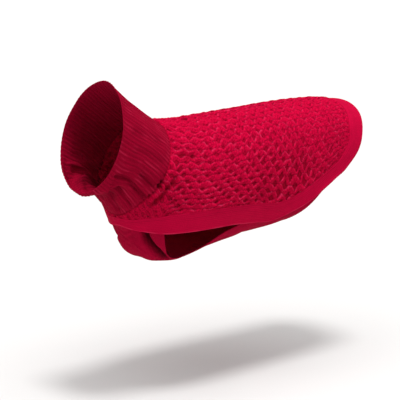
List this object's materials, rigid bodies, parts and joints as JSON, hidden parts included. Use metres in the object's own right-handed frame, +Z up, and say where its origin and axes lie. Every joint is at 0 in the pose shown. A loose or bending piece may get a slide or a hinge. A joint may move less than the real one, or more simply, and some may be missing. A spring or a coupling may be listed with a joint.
{
  "type": "dog sweater",
  "caption": "Small dog's knitted pullover with a ribbed roll collar, lattice-knit back, plain border band and chest panel, in its worn shape.",
  "frame": {"origin": "on the inner face of the back panel, on the centre line over the withers, where the wearer's back carries the garment", "axes": "+Z up, +Y along the back towards the tail end, +X towards the wearer's left"},
  "size_m": [0.1384, 0.4056, 0.2148],
  "materials": {
    "rib_knit": "knitted yarn, matt with a soft fuzz",
    "lattice_knit": "knitted yarn, matt with a soft fuzz",
    "plain_knit": "knitted yarn, matt with a soft fuzz",
    "fine_knit": "knitted yarn, matt with a soft fuzz"
  },
  "bodies": {
    "root": {"collar_nape": "rib_knit", "collar_throat": "rib_knit", "back_panel": "lattice_knit", "border_band_front": "plain_knit", "border_band_rear": "plain_knit", "chest_panel": "fine_knit"}
  },
  "joints": []
}
